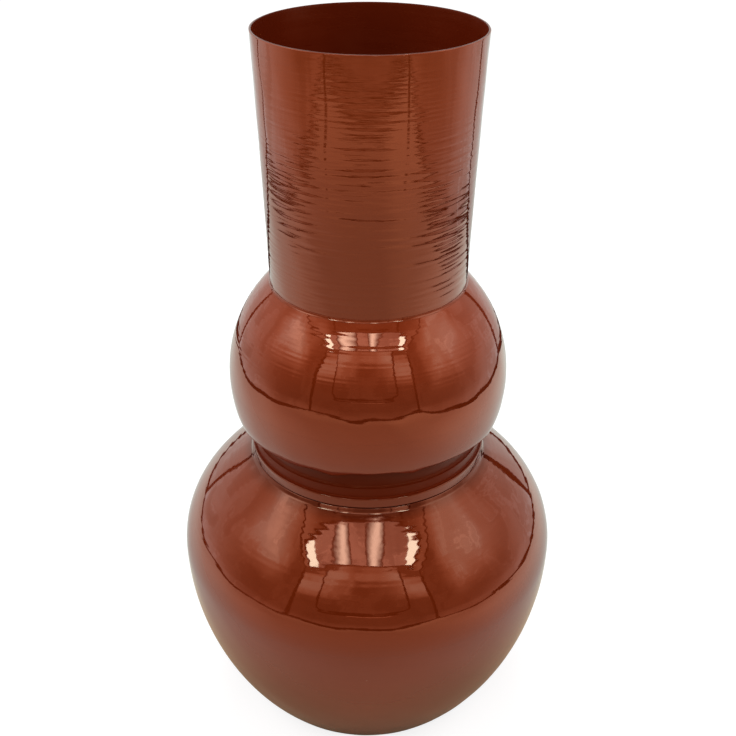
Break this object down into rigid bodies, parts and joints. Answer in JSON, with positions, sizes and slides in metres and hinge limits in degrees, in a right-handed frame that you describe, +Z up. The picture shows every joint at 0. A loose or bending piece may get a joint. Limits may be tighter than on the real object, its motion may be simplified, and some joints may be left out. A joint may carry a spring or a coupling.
{
  "type": "vase",
  "caption": "Tall spun-metal flower vase: open flared neck over a ball, a recessed stepped waist and a round body that stands on a flat foot ring.",
  "frame": {"origin": "centre of the foot ring, on the surface that the vase stands on", "axes": "+Z up along the axis of the vase, towards the rim; X and Y are alike because every piece is round"},
  "size_m": [0.1646, 0.1646, 0.3],
  "materials": {
    "rust_lacquer": "high-gloss rust-brown lacquer over spun zinc",
    "inside_lacquer": "thin half-gloss overspray of the same lacquer"
  },
  "bodies": {
    "root": {"neck_cone": "rust_lacquer", "neck_foot_solder": "rust_lacquer", "bulb_upper_shell": "rust_lacquer", "bulb_seam_solder": "inside_lacquer", "bulb_lower_shell": "rust_lacquer", "waist_collar": "rust_lacquer", "collar_top_solder": "rust_lacquer", "throat_solder": "inside_lacquer", "body_shoulder_shell": "rust_lacquer", "body_seam_solder": "inside_lacquer", "body_bowl_shell": "rust_lacquer", "base_disc": "inside_lacquer", "base_solder": "inside_lacquer"}
  },
  "joints": []
}
